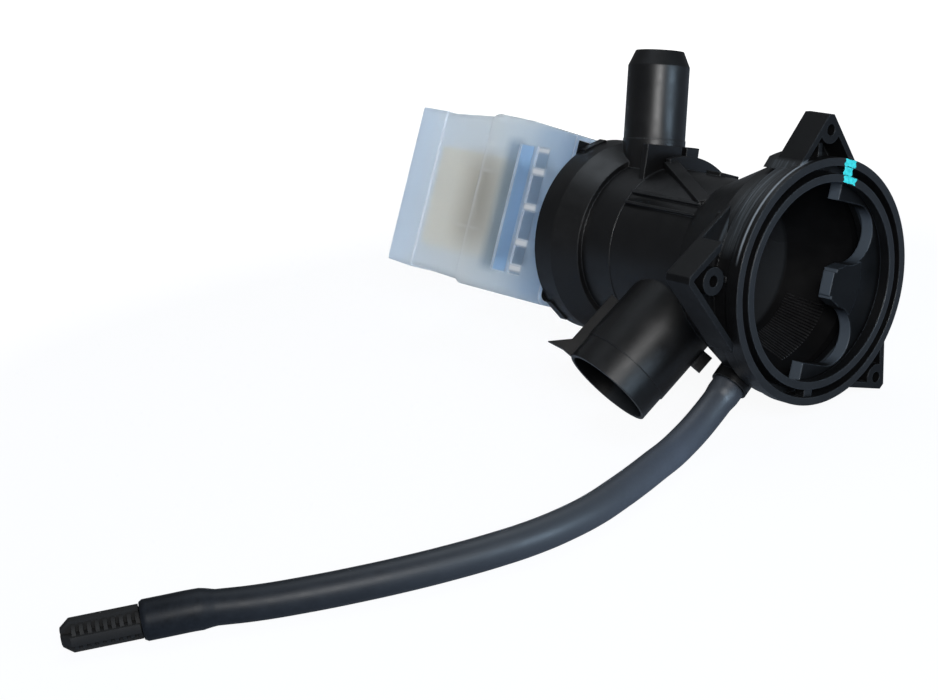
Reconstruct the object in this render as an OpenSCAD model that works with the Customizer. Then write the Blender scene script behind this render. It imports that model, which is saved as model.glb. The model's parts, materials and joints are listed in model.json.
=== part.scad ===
// Washer drain pump: filter housing, volute, wet-rotor motor, drain hose and stopper plug.
// Millimetres. The pump axis is the Y axis: the filter port faces -Y, the motor lies towards +Y.
// The origin is the centre of the filter port's front face. +Z is up as the pump lies on a table.

/* [Filter port] */
// Outer radius of the port ring
port_r = 43.5; // [41:0.5:47]
// Wall of the outer rim
rim_wall = 2.8; // [2:0.1:3.4]
// Width of the sealing groove between the rim and the filter sleeve
groove_w = 2.8; // [2:0.1:3.6]
// Depth of the sealing groove
groove_depth = 9; // [6:0.5:12]
// Depth of the thick band round the front of the rim
rim_band = 5; // [3:0.5:7]
// Wall of the filter sleeve
sleeve_wall = 2.8; // [2:0.1:3.4]
// Length of the filter sleeve
sleeve_len = 15; // [12:0.5:15.5]
// Direction of the bayonet plate's tongue, from +X towards +Z
plate_turn = -23; // [-40:1:0]
// Depth of the bayonet plate behind the rim face
plate_depth = 4.2; // [3:0.2:6]
// Thickness of the bayonet plate
plate_t = 6; // [3:0.5:8]
// Radius of the two lobes cut in the bayonet plate
lobe_r = 10.7; // [9:0.1:11.5]
// Half width of the tongue between the lobes
tongue_half = 7.6; // [6:0.2:9]

/* [Ears] */
// Distance from the port ring out to the ear screw holes
ear_reach = 9.2; // [8.4:0.2:11]
// Radius of the pilot holes
ear_hole_r = 2; // [1.5:0.1:2.4]
// Depth of the pilot holes
ear_hole_depth = 9; // [6:0.5:10]
// Outer radius of the screw bosses
ear_boss_r = 4.8; // [4:0.1:5.4]
// Thickness of the ear skins
ear_skin = 2.2; // [1.6:0.1:3]
// Angle of the short ears' skins to the ear's centre line
short_half_angle = 38; // [34:0.5:42]
// Angle of the long ear's skins to the ear's centre line
long_half_angle = 42.5; // [38:0.5:46]
// Setback of the ears behind the rim face
ear_setback = 2.6; // [1.5:0.1:4]
// Depth of the ears from front to back
ear_depth = 11; // [10.5:0.5:14]
// Reach of the short ears' tips beyond their screw holes
short_tip = 5.3; // [4.6:0.1:7]
// Reach of the long ear's tip beyond its screw hole
long_tip = 11.4; // [8:0.2:13]

/* [Chamber and neck] */
// Wall of the filter chamber
chamber_wall = 2.2; // [1.8:0.1:3]
// Depth at which the chamber starts to narrow
shoulder_y = 19.5; // [19:0.5:21]
// Depth at which the neck starts
neck_y = 42; // [40:0.5:44]
// Outer radius of the neck at its front
neck_r = 29.9; // [29:0.1:31]
// Outer radius of the neck where it meets the volute
neck_back_r = 30.2; // [29.6:0.1:30.4]
// Wall of the neck
neck_wall = 2.4; // [1.8:0.1:3]

/* [Volute] */
// Depth at which the volute drum starts
volute_y = 76; // [74:0.5:78]
// Outer radius of the volute drum
volute_r = 30.4; // [30:0.1:32]
// Wall of the volute drum
volute_wall = 2.4; // [2:0.1:3]
// Radius of the eye that feeds the impeller
eye_r = 14; // [12:0.5:16]
// Thickness of the wall round the eye
eye_wall = 2.5; // [2:0.1:3.5]
// Length of the volute drum up to its motor flange ring
volute_len = 25; // [24.5:0.5:27]
// Length of the motor flange ring
flange_len = 9; // [8:0.5:11]
// Outer radius of the motor flange ring
flange_r = 36.8; // [36:0.1:39]
// Wall of the motor flange ring
flange_wall = 3.2; // [2.4:0.1:4]

/* [Outlet] */
// Distance of the outlet's axis behind the front of the drum
outlet_setback = 11.2; // [10.5:0.1:12]
// Turn of the outlet about the pump axis, from +Z towards +X
outlet_turn = 17.4; // [0:0.2:30]
// Lean of the outlet towards the motor
outlet_lean = 6; // [4:0.5:7]
// Outer radius of the outlet spigot
outlet_r = 11.6; // [10.5:0.1:12]
// Bore radius of the outlet spigot
outlet_bore_r = 8; // [7:0.1:8.6]
// Distance from the pump axis to the outlet's tip
outlet_len = 72.4; // [65:0.2:85]
// Length of the tapered lead-in at the outlet's tip
outlet_taper = 5.7; // [4:0.1:8]
// Loss of radius along that lead-in
outlet_lead = 2.5; // [1.5:0.1:3]

/* [Inlet] */
// Depth of the inlet's axis on the pump axis
inlet_y = 49.6; // [48:0.2:51]
// Turn of the inlet about the pump axis, from +Z towards +X
inlet_turn = -124.9; // [-128:0.1:-122]
// Lean of the inlet towards the motor
inlet_lean = 9.3; // [8:0.1:11]
// Outer radius of the inlet spigot
inlet_r = 17.5; // [16.5:0.1:18.5]
// Wall of the inlet spigot
inlet_wall = 1.8; // [1.6:0.1:2.6]
// Distance from the pump axis to the inlet's mouth
inlet_len = 63; // [60:0.5:66]
// Length of the slimmer band at the inlet's mouth
inlet_band = 10; // [6:0.5:14]

/* [Drain nozzle] */
// Outer radius of the nozzle's collar
collar_r = 6.8; // [6.5:0.1:8]
// Outer radius of the nozzle inside the hose
nozzle_r = 3.3; // [2.8:0.1:3.4]
// Bore radius of the nozzle
nozzle_bore_r = 2; // [1.5:0.1:2.2]
// Length of the nozzle inside the hose
nozzle_len = 7; // [5:0.5:8]

/* [Drain hose] */
// Outer radius of the hose
hose_r = 5.55; // [5.2:0.05:5.6]
// Bore radius of the hose
hose_bore_r = 3.6; // [3.5:0.05:3.9]
// Outer radius of the hose's stretched ends
cuff_r = 6.4; // [6:0.1:7]

/* [Stopper plug] */
// Radius of the shank in the hose
shank_r = 3.15; // [2.8:0.05:3.2]
// Length of the shank
shank_len = 18; // [12:1:22]
// Radius of the finned grip
grip_r = 5.4; // [5:0.1:5.5]
// Length of the finned grip
grip_len = 24; // [20:1:28]
// Thickness of the grip's fins
fin_t = 3; // [2:0.1:4]
// Spacing of the grip's ribs
rib_pitch = 2.4; // [2:0.1:4]

/* [Impeller] */
// Outer radius of the impeller
impeller_r = 21; // [18:0.5:24]
// Number of impeller vanes
vanes = 6; // [4:1:8]
// Thickness of the vanes
vane_t = 2; // [1.4:0.1:2.6]
// Height of the vanes in front of the back plate
vane_h = 14; // [11:0.5:14.5]
// Thickness of the impeller's back plate
back_t = 2; // [1.6:0.1:2.4]
// Angle across each clutch dog
dog_angle = 50; // [40:1:60]

/* [Rotor] */
// Radius of the shaft
shaft_r = 2; // [1.6:0.1:2.4]
// Outer radius of the magnet
magnet_r = 11.6; // [10.5:0.1:12]
// Length of the magnet
magnet_len = 40; // [34:1:44]
// Radius of the plastic core between the shaft and the magnet
rotor_core_r = 5.5; // [4.5:0.1:7]
// Outer radius of the bearing bushes
bush_r = 5; // [4:0.1:6]
// Length of the bearing bushes
bush_len = 7; // [6:0.5:8]

/* [Motor] */
// Turn of the motor about the pump axis, from +Z towards +X
motor_turn = 26; // [0:1:45]
// Thickness of the motor flange
flange_plate = 6; // [5:0.5:7]
// Thickness of the volute seal
seal_t = 1.5; // [1:0.1:2]
// Outer radius of the rotor can
can_r = 14; // [13.6:0.1:15]
// Wall of the rotor can
can_wall = 1.2; // [1:0.1:1.4]
// Length of the rotor can behind the motor flange
can_len = 87.5; // [84:0.5:89]
// Distance of the laminated core behind the motor flange
core_setback = 36.5; // [34:0.5:39]
// Thickness of the laminated stack
core_len = 38; // [32:1:40]
// Height and depth of the two pole halves across the rotor
pole_half = 18; // [17.6:0.1:20]
// Reach of the poles to the left of the rotor
pole_left = 22; // [20:0.2:22]
// Reach of the core's legs to the right of the rotor
leg_reach = 46; // [44:0.5:46.5]
// Width of the core's legs and yoke
leg_w = 12; // [10:0.5:12]
// Build of each winding outside its bobbin
winding_t = 4.2; // [3:0.1:4.4]
// Wall of the bobbins
bobbin_wall = 1; // [0.8:0.1:1.2]
// Radius of the core's rivets
rivet_r = 1.5; // [1:0.1:1.8]

/* [Motor cover] */
// Reach of the cover to the left of the pump axis
cover_left = 27; // [26.8:0.1:30]
// Room between the core's yoke and the cover's right side
core_room = 2.6; // [1.6:0.1:4]
// Reach of the cover above the pump axis
cover_top = 37; // [36:0.5:39]
// Reach of the cover below the pump axis
cover_bottom = 32.2; // [31.6:0.2:34]
// Length of the cover
cover_len = 94.5; // [93.5:0.5:100]
// Wall of the cover
cover_wall = 1.6; // [1.2:0.1:1.6]
// Radius of the cover's long edges
cover_edge_r = 4; // [3:0.2:6]
// Step between the cover's front and rear sections
cover_step = 1.2; // [0.8:0.1:1.4]
// Length of the cover's front section
cover_front_len = 50; // [46:0.5:54]
// Width of the slot in the cover's left side
slot_w = 8.4; // [5:0.2:9]
// Height of that slot
slot_h = 50; // [40:1:54]

/* [Hidden] */
$fn = 96;
// Clearances: pieces of one body, running fits, and pieces that move past each other
seat_gap = 0.05;
run_gap = 0.04;
move_gap = 0.3;
// Overlap that joins shapes within one piece, and the overshoot of cuts
join = 0.6;
over = 1;

// Filter port
groove_r = port_r - rim_wall;
seat_r = groove_r - groove_w;
sleeve_r = seat_r - seat_gap;
bore_r = seat_r - sleeve_wall;
chamber_r = seat_r + chamber_wall;
bore_step = 1.2;
seat_draft = 0.1;
lobe_out = bore_r - lobe_r;
lobe_side = tongue_half + lobe_r;
lobe_along = sqrt(lobe_out * lobe_out - lobe_side * lobe_side);
plate_edge = 4.6;
plate_rim_r = 24.7;
plate_step = 1;
tongue_edge = 11;
tongue_tip_half = 5.4;
tongue_taper = 5;
pad_size = [1.4, 5, 8.4];
key_angle = -104;
key_w = 4;
key_setback = 1.5;
key_len = 4;

// Ears: turn about the pump axis, reach of the tip beyond the hole and angle of the skins
ear_r = port_r + ear_reach;
arm_back = 1.8;
// Each ear's turn, tip, angle and, where its upper skin stops short, the place where that skin starts
ears = [[78.4, short_tip, short_half_angle, 0], [163.8, long_tip, long_half_angle, ear_r - arm_back],
    [-57.9, short_tip, short_half_angle, 0]];
ear_floor = 1.6;
ear_foot = 4;
ear_foot_out = 1;
ear_root = 1;
tip_half = 1.2;
web_t = 1.8;
web_setback = 4;

// Chamber and neck, wall by wall
band_step = 1;
neck_rib_t = 1;
neck_rib_h = 1.2;
neck_rib_turns = [121, 130];

// Volute
volute_in_r = volute_r - volute_wall;
outlet_y = volute_y + outlet_setback;
mouth_r = flange_r - flange_wall;
flange_y = volute_y + volute_len;
flange_end = flange_y + flange_len;
seal_inset = 2;
seal_y = flange_y + seal_inset;
drum_setback = 10;
drum_end = flange_y - drum_setback;
drum_edge = 0.2;
drum_flare = 2;
plate_y = seal_y + seal_t;
plate_end = plate_y + flange_plate;
closing_t = 1.6;
closing_y = plate_end + move_gap;
closing_end = closing_y + closing_t;
core_y = plate_end + core_setback;
spigot_len = 4;
spigot_y = plate_y - spigot_len;
lug_angles = [96, 216, 336];
lug_w = 11;
lug_rise = 0.5;
lug_t = 3.4;

// Clip plate at the foot of the outlet, in the outlet's own turn
clip_setback = 0.6;
clip_y = volute_y + clip_setback;
clip_t = 2.6;
clip_rise = 7.6;
clip_top = volute_r + clip_rise;
clip_left = 17.5;
clip_right = 9.5;
clip_slot = 2.6;
clip_slot_x = 0.4;
clip_slot_rise = 1;
clip_slot_floor = volute_r + clip_slot_rise;

// Thicker root of the outlet, past the top of the clip plate
root_step = 0.2;
root_over = 1;
outlet_root = clip_top / cos(outlet_lean) + root_over;

// Arched fin, sloping brace and stop on the neck
arch_setback = 4.6;
arch_y = volute_y - arch_setback;
arch_t = 2.2;
arch_rise = 4.9;
arch_start = 90;
arch_end = 152;
brace_w = 5;
brace_rise = 1.3;
brace_setback = 3;
brace_sink = 1;
brace_turns = [87, 119];
brace_start = [neck_back_r + brace_rise, volute_y - brace_setback, brace_turns[0]];
brace_end = [neck_r - brace_sink, neck_y - brace_sink, brace_turns[1]];
stop_size = [10, 7, 5.2];
stop_turn = 24;
stop_sink = 4.3;
stop_y = 54;

// Inlet fin and tab
inlet_band_step = 0.4;
inlet_fin_turn = 45;
inlet_fin_len = 27;
inlet_fin_w = 10.4;
inlet_ridge = 4.4;
inlet_wing = 5;
inlet_wing_out = 1.4;
inlet_fin_t = 2;
inlet_tab_w = 4;
inlet_tab_len = 7;
inlet_tab_back = 33;

// Drain hose route, down from the nozzle and along the floor, and the swept rings
hose_route = [
    [-31, 18.6, -32.4], [-34, 18.6, -34.4], [-37, 18.5, -36.5], [-43.5, 17.8, -40.1],
    [-51, 16.6, -42.9], [-58, 15.2, -44], [-66, 13.2, -44.4], [-76, 10.5, -44.4], [-88, 7, -44.4],
    [-100, 4, -44.4], [-113, 1.4, -44.4], [-126, 0.6, -44.4], [-139, 1.5, -44.4],
    [-152, 4.2, -44.4], [-166, 8.4, -44.4], [-180, 13.6, -44.4], [-194, 19.8, -44.4],
    [-208, 26.9, -44.4], [-222, 34.8, -44.2], [-232, 41, -43.6], [-236, 43.4, -43.3],
    [-246, 49.2, -43.6], [-251.6, 52.4, -43.8]];
hose_sides = 12;
hose_last = len(hose_route) - 1;
cuff_start_rings = 2;
cuff_end_rings = 3;

// Stopper plug's grip: ribs sunk between the fins, and a tapered nose
rib_sink = 0.9;
rib_stop = 4;
nose_len = 3;
nose_drop = 2.4;

// Rotor and impeller along the axis
vane_gap = 3;
vane_y = volute_y + eye_wall + vane_gap;
back_y = vane_y + vane_h;
cup_y = back_y + back_t;
cup_len = 6;
can_in_r = can_r - can_wall;
cup_gap = 1.5;
cup_wall = 2;
cup_r = can_in_r - cup_gap;
cup_in_r = cup_r - cup_wall;
hub_wall = 3;
hub_r = shaft_r + hub_wall;
dog_wall = 2.6;
dog_hub_r = shaft_r + dog_wall;
dog_y = cup_y + move_gap;
dog_len = cup_len - 2 * move_gap;
bush_gap = 1;
washer_space = 1;
front_bush_y = cup_y + cup_len + bush_gap;
rotor_y = front_bush_y + bush_len + washer_space;
magnet_y = core_y + (core_len - magnet_len) / 2;
can_end = plate_end + can_len;
can_floor_t = 1.5;
can_floor = can_end - can_floor_t;
rear_bush_y = can_floor - bush_len;
rotor_end = rear_bush_y - washer_space;
clip_len = 1.2;
clip_wall = 2.2;
clip_r = shaft_r + clip_wall;
clip_gap = 0.2;
impeller_clip_y = vane_y - clip_len - clip_gap;
shaft_nose = 0.6;
shaft_y = impeller_clip_y - shaft_nose;
shaft_short = 1;
shaft_end = can_floor - shaft_short;
vane_lead = 4;
vane_root = (shaft_r + hub_r) / 2;

// Stator, in the motor's own turn: X to the side, Z up
pole_bore_r = can_r + move_gap;
air_gap = 3;
yoke_slim = 2;
yoke_x = leg_reach - leg_w + yoke_slim;
leg_in = pole_half - leg_w;
bobbin_gap = 0.1;
bobbin_lap = 1;
bobbin_x = pole_half - bobbin_lap;
bobbin_end = yoke_x - bobbin_gap;
coil_out = bobbin_gap + bobbin_wall + winding_t;
rivet_edge = 4;
rivet_places = [for (x = [rivet_edge - pole_left, leg_reach - rivet_edge])
    for (z = [rivet_edge - pole_half, pole_half - rivet_edge]) [x, z]];
rivet_head = 0.8;
rivet_head_lap = 0.9;
rivet_head_r = rivet_r + rivet_head_lap;
frame_wall = cover_left - cover_step - cover_wall - seat_gap - pole_left;
frame_over = 4;
frame_right = 12;
post_w = 5;
terminal_h = 18;
terminal_len = 13;
terminal_inset = 1;
terminal_x = yoke_x + terminal_inset;
terminal_end = leg_reach + terminal_inset;
tab_inset = 2;
tab_t = 0.8;
tab_w = 6.3;
tab_reach = 12;
tab_pitch = 9.4;
lead_r = 0.5;
lead_z = 6;
lead_lap = 6;

// Motor cover
cover_y = plate_end;
cover_end = cover_y + cover_len;
cover_step_y = cover_y + cover_front_len;
cover_right = leg_reach + core_room + cover_step + cover_wall;
crease_setback = 28;
cover_crease_y = cover_y + crease_setback;
crease_drop = 0.8;
front_drop = 3.7;
rear_drop = 3.5;
rear_lift = 2.4;
slot_setback = 22;
slot_y = cover_y + slot_setback;
slot_mid = 1.5;
slot_skin = 0.6;
rung_setback = 9;
rung_y = slot_y - rung_setback;
rung_w = 7;
rung_h = 2.6;
rung_places = [17, 3, -11, -21];
pocket_depth = 0.8;
rear_rim_len = 15;
rear_rim_t = 0.8;
port_gap = 0.5;

// Revolves a profile of [radius, depth] points about the pump axis
module turned() {
    rotate([-90, 0, 0]) rotate_extrude() children();
}

// A ring about the pump axis from depth y0 to y1
module ring(r0, r1, y0, y1) {
    turned() translate([r0, y0]) square([r1 - r0, y1 - y0]);
}

// A rod about the pump axis from depth y0 to y1
module rod(r, y0, y1) {
    translate([0, y0, 0]) rotate([-90, 0, 0]) cylinder(r = r, h = y1 - y0);
}

// Extrudes an outline drawn in X and Z from depth y0 to y1
module slab(y0, y1) {
    translate([0, y1, 0]) rotate([90, 0, 0]) linear_extrude(y1 - y0) children();
}

// A block between two corners
module block(low, high) {
    translate(low) cube(high - low);
}

// Points local +Z along a spigot that leaves the pump axis at depth y0
module stem(y0, turn, lean) {
    translate([0, y0, 0]) rotate([-lean, turn, 0]) children();
}

// Turns local X and Z to the motor's own side and up directions
module motor_turned() {
    rotate([0, motor_turn, 0]) children();
}

// Points local +Z from one route point to another, standing on the first
module aimed(from, to) {
    d = to - from;
    translate(from) rotate([0, acos(d[2] / norm(d)), atan2(d[1], d[0])]) children();
}

// Solid outside of the chamber and neck
module chamber_outside() {
    turned() polygon([[0, 0], [port_r, 0], [port_r, rim_band], [port_r - band_step, rim_band + band_step],
        [port_r - band_step, groove_depth + chamber_wall], [chamber_r, groove_depth + 2 * chamber_wall],
        [chamber_r, shoulder_y], [neck_r, neck_y], [neck_back_r, volute_y], [0, volute_y]]);
}

// Hollow of the chamber and neck
module chamber_inside() {
    turned() polygon([[0, -over], [groove_r, -over], [groove_r, groove_depth],
        [seat_r + seat_draft, groove_depth], [seat_r, sleeve_len], [chamber_r - neck_wall, shoulder_y],
        [neck_r - neck_wall, neck_y], [neck_back_r - neck_wall, volute_y + over], [0, volute_y + over]]);
}

// Outline of an ear whose tip lies at radius tip, drawn out along +X
module ear_outline(tip, angle, inset) {
    slope = tan(angle);
    drop = inset / cos(angle);
    root = seat_r + ear_root;
    end = tip - inset;
    tip_w = max(tip_half - drop + inset * slope, 0.2);
    root_w = tip_half - drop + (tip - root) * slope;
    polygon([[root, -root_w], [end, -tip_w], [end, tip_w], [root, root_w]]);
}

// One ear: skins round a pocket that is open to the front
module ear(turn, reach, angle, skin_start) {
    front = ear_setback;
    back = ear_setback + ear_depth;
    tip = ear_r + reach;
    rotate([0, -turn, 0]) {
        difference() {
            slab(front, back) ear_outline(tip, angle, 0);
            slab(front - over, back - ear_floor) ear_outline(tip, angle, ear_skin);
            if (skin_start > 0)
                block([0, front - over, -tip], [skin_start, back - ear_floor, 0]);
        }
        intersection() {
            slab(front, back) ear_outline(tip, angle, 0);
            translate([ear_r, 0, 0]) rod(ear_boss_r, front, back);
        }
        block([chamber_r - join, front + web_setback, -web_t / 2], [ear_r, back, web_t / 2]);
        slab(back - join, back + ear_foot)
            intersection() {
                ear_outline(tip, angle, 0);
                circle(port_r + ear_foot_out);
            }
    }
}

module ear_holes() {
    for (e = ears)
        rotate([0, -e[0], 0])
            translate([ear_r, 0, 0])
                rod(ear_hole_r, ear_setback - over, ear_setback + ear_hole_depth);
}

// Spigot of the inlet, solid, with its fin and tab
module inlet_outside() {
    stem(inlet_y, inlet_turn, inlet_lean) {
        cylinder(r = inlet_r, h = inlet_len - inlet_band);
        cylinder(r = inlet_r - inlet_band_step, h = inlet_len);
        rotate([0, 0, -inlet_fin_turn]) {
            translate([-inlet_fin_t / 2, inlet_r - inlet_wall / 2, inlet_len - inlet_fin_len])
                rotate([90, 0, 90])
                    linear_extrude(inlet_fin_t)
                        polygon([[0, 0], [inlet_ridge, 0], [inlet_ridge, inlet_fin_len - inlet_wing],
                            [inlet_fin_w, inlet_fin_len + inlet_wing_out], [inlet_ridge, inlet_fin_len],
                            [0, inlet_fin_len]]);
            translate([-inlet_fin_t / 2, -inlet_r - inlet_tab_w, inlet_len - inlet_tab_back])
                cube([inlet_fin_t, inlet_tab_w + inlet_wall / 2, inlet_tab_len]);
        }
    }
}

// Collar and nozzle for the drain hose, on the line of the hose's first stretch
module nozzle_outside() {
    aimed(hose_route[0], hose_route[1]) {
        translate([0, 0, -port_r / 2]) cylinder(r = collar_r, h = port_r / 2);
        cylinder(r = nozzle_r, h = nozzle_len);
    }
}

module nozzle_bore() {
    aimed(hose_route[0], hose_route[1])
        translate([0, 0, -port_r / 2])
            cylinder(r = nozzle_bore_r, h = port_r / 2 + nozzle_len + over);
}

// Thin ribs along the neck
module neck_ribs() {
    for (turn = neck_rib_turns)
        rotate([0, -turn, 0])
            block([neck_back_r - neck_wall / 2, neck_y - over, -neck_rib_t / 2],
                [neck_r + neck_rib_h, volute_y, neck_rib_t / 2]);
}

// Arched fin round the neck in front of the outlet
module neck_arch() {
    sector(neck_back_r - neck_wall / 2, neck_back_r + arch_rise, arch_y, arch_y + arch_t,
        (arch_start + arch_end) / 2, arch_end - arch_start);
}

// Point at a radius, depth and turn about the pump axis
function polar(p) = [p[0] * cos(p[2]), p[1], p[0] * sin(p[2])];

// Sloping brace from the arch down to the chamber
module neck_brace() {
    from = polar(brace_start);
    to = polar(brace_end);
    aimed(from, to)
        translate([-brace_w / 2, -brace_w / 2, 0])
            cube([brace_w, brace_w, norm(to - from)]);
}

// Small stop on top of the neck
module neck_stop() {
    rotate([0, stop_turn, 0])
        translate([-stop_size[0] / 2, stop_y, neck_back_r - stop_sink])
            cube(stop_size);
}

module filter_housing() {
    color("#232426")
    difference() {
        union() {
            chamber_outside();
            for (e = ears) ear(e[0], e[1], e[2], e[3]);
            inlet_outside();
            nozzle_outside();
            neck_ribs();
            neck_arch();
            neck_brace();
            neck_stop();
        }
        chamber_inside();
        stem(inlet_y, inlet_turn, inlet_lean)
            cylinder(r = inlet_r - inlet_wall, h = inlet_len + over);
        nozzle_bore();
        ear_holes();
    }
}

// Outline of the bayonet plate, with its tongue along +X
module plate_outline() {
    difference() {
        circle(bore_r + bore_step + join);
        translate([-2 * port_r + plate_edge, -port_r]) square([2 * port_r, 2 * port_r]);
        translate([0, -lobe_side]) square([tongue_edge, 2 * lobe_side]);
        for (side = [-1, 1]) {
            translate([lobe_along, side * lobe_side]) circle(lobe_r);
            translate([0, side * lobe_side - lobe_r]) square([lobe_along, 2 * lobe_r]);
            translate([tongue_edge, side * tongue_half])
                polygon([[-over, side * over], [0, side * (tongue_tip_half - tongue_half)],
                    [tongue_taper, 0], [tongue_taper, side * over]]);
        }
    }
}

module filter_sleeve() {
    color("#2b2c2e") {
        ring(bore_r, sleeve_r, 0, plate_depth);
        ring(bore_r + bore_step, sleeve_r, plate_depth - join, sleeve_len);
        rotate([0, -plate_turn, 0]) {
            slab(plate_depth + plate_step, plate_depth + plate_t) plate_outline();
            slab(plate_depth, plate_depth + plate_step + join)
                intersection() {
                    plate_outline();
                    circle(plate_rim_r);
                }
            translate([tongue_edge - pad_size[0], plate_depth, -pad_size[2] / 2])
                cube(pad_size + [join, 0, 0]);
        }
        rotate([0, -key_angle, 0])
            block([sleeve_r - join, key_setback, -key_w / 2],
                [groove_r - seat_gap, key_setback + key_len, key_w / 2]);
    }
}

// Upright clip plate at the foot of the outlet
module outlet_clip() {
    rotate([0, outlet_turn, 0])
        difference() {
            block([-clip_left, clip_y, volute_in_r / 2], [clip_right, clip_y + clip_t, clip_top]);
            block([clip_slot_x, clip_y - over, clip_slot_floor],
                [clip_slot_x + clip_slot, clip_y + clip_t + over, clip_top + over]);
        }
}

module volute_housing() {
    color("#232426")
    difference() {
        union() {
            turned() polygon([[0, volute_y], [volute_r - drum_edge, volute_y], [volute_r, volute_y + drum_edge],
                [volute_r, drum_end], [volute_r + drum_flare, drum_end], [flange_r, flange_y],
                [flange_r, flange_end], [0, flange_end]]);
            stem(outlet_y, outlet_turn, outlet_lean) {
                cylinder(r = outlet_r + root_step, h = outlet_root);
                cylinder(r = outlet_r, h = outlet_len - outlet_taper);
                translate([0, 0, outlet_len - outlet_taper])
                    cylinder(r1 = outlet_r, r2 = outlet_r - outlet_lead, h = outlet_taper);
            }
            outlet_clip();
        }
        rod(eye_r, volute_y - over, volute_y + eye_wall + over);
        rod(volute_in_r, volute_y + eye_wall, seal_y + over);
        rod(mouth_r, seal_y, flange_end + over);
        stem(outlet_y, outlet_turn, outlet_lean)
            translate([0, 0, volute_in_r / 2])
                cylinder(r = outlet_bore_r, h = outlet_len);
        lug_slots(seat_gap);
    }
}

// Slots through the flange ring for the motor's bayonet lugs
module lug_slots(gap) {
    for (turn = lug_angles)
        rotate([0, -turn, 0])
            block([mouth_r - flange_wall, plate_end - lug_t - gap, -lug_w / 2 - gap],
                [flange_r + lug_rise + gap, flange_end + over, lug_w / 2 + gap]);
}

module volute_seal() {
    color("#1a1a1a") ring(volute_in_r + move_gap, mouth_r - seat_gap, seal_y, plate_y);
}

// Flange with spigot, bayonet lugs and a plate in the cover's mouth, moulded in one with the rotor can
module motor_flange() {
    color("#d8d6cf")
    difference() {
        union() {
            rod(mouth_r - seat_gap, plate_y, plate_end);
            rod(volute_in_r - move_gap, spigot_y, plate_y + join);
            rod(can_r, plate_end - join, can_end);
            closing_plate(cover_wall + seat_gap);
            for (turn = lug_angles)
                rotate([0, -turn, 0])
                    block([mouth_r - flange_wall, plate_end - lug_t, -lug_w / 2],
                        [flange_r + lug_rise, plate_end, lug_w / 2]);
        }
        rod(can_in_r, spigot_y - over, can_floor);
    }
}

// Plate that closes the cover's mouth, drawn in by an inset
module closing_plate(inset) {
    rod(cover_left - inset - join, plate_end - join, closing_y + join);
    motor_turned()
    intersection() {
        slab(closing_y, closing_end) cover_outline(inset);
        cover_side(inset);
    }
}

// A bush in its rubber cushion, standing at depth y0 in the rotor can
module bearing(y0) {
    color("#3d3b38") ring(shaft_r + run_gap, bush_r, y0, y0 + bush_len);
}

module cushion(y0) {
    color("#1c1c1d") ring(bush_r + seat_gap, can_in_r - seat_gap, y0, y0 + bush_len);
}

module front_bearing() { bearing(front_bush_y); }
module rear_bearing() { bearing(rear_bush_y); }
module front_cushion() { cushion(front_bush_y); }
module rear_cushion() { cushion(rear_bush_y); }

// Outline of one lamination: two poles, two legs and a yoke
module lamination() {
    difference() {
        translate([-pole_left, -pole_half]) square([pole_left + leg_reach, 2 * pole_half]);
        circle(pole_bore_r);
        translate([-pole_left - over, -air_gap / 2]) square([pole_left, air_gap]);
        translate([0, -leg_in]) square([yoke_x, 2 * leg_in]);
    }
}

module stator_core() {
    color("#6d6f72")
    motor_turned()
    difference() {
        slab(core_y, core_y + core_len) lamination();
        for (p = rivet_places)
            translate([p[0], 0, p[1]])
                rod(rivet_r + seat_gap, core_y - over, core_y + core_len + over);
    }
}

module core_rivets() {
    color("#9a9b9d")
    motor_turned()
    for (p = rivet_places)
        translate([p[0], 0, p[1]]) {
            rod(rivet_r, core_y - rivet_head, core_y + core_len + rivet_head);
            rod(rivet_head_r, core_y - rivet_head, core_y);
            rod(rivet_head_r, core_y + core_len, core_y + core_len + rivet_head);
        }
}

// Moulded channel that holds the poles and stands on the motor flange
module stator_frame() {
    color("#d9cfae")
    motor_turned()
    difference() {
        union() {
            block([-pole_left - frame_wall, core_y - frame_over, -pole_half - frame_wall],
                [frame_right, core_y + core_len + frame_over, pole_half + frame_wall]);
            for (x = [-pole_left - frame_wall, frame_right - post_w])
                for (z = [-pole_half - frame_wall, pole_half])
                    block([x, closing_end, z], [x + post_w, core_y, z + frame_wall]);
        }
        block([-pole_left, core_y - frame_over - over, -pole_half],
            [frame_right + over, core_y + core_len + frame_over + over, pole_half]);
    }
}

// A block round one leg, grown by a margin, from side position x0 to x1
module leg_block(margin, x0, x1) {
    block([x0, core_y - margin, leg_in - margin],
        [x1, core_y + core_len + margin, pole_half + margin]);
}

// Spool round the upper leg
module bobbin() {
    difference() {
        union() {
            leg_block(bobbin_gap + bobbin_wall, bobbin_x, bobbin_end);
            leg_block(coil_out, bobbin_x, bobbin_x + bobbin_wall);
            leg_block(coil_out, bobbin_end - bobbin_wall, bobbin_end);
        }
        leg_block(bobbin_gap, bobbin_x - over, bobbin_end + over);
    }
}

// Taped winding on the upper bobbin
module winding() {
    difference() {
        leg_block(coil_out, bobbin_x + bobbin_wall + seat_gap, bobbin_end - bobbin_wall - seat_gap);
        leg_block(bobbin_gap + bobbin_wall + seat_gap, bobbin_x, bobbin_end);
    }
}

module upper_bobbin() { color("#e6e2d4") motor_turned() bobbin(); }
module lower_bobbin() { color("#e6e2d4") motor_turned() mirror([0, 0, 1]) bobbin(); }
module upper_winding() { color("#c79a5b") motor_turned() winding(); }
module lower_winding() { color("#c79a5b") motor_turned() mirror([0, 0, 1]) winding(); }

// Holder of the two tabs, on the rear face of the yoke
module terminal_block() {
    color("#e6e2d4")
    motor_turned()
    difference() {
        block([terminal_x, core_y + core_len, -terminal_h / 2],
            [terminal_end, core_y + core_len + terminal_len, terminal_h / 2]);
        tab_places(seat_gap);
    }
}

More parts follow.
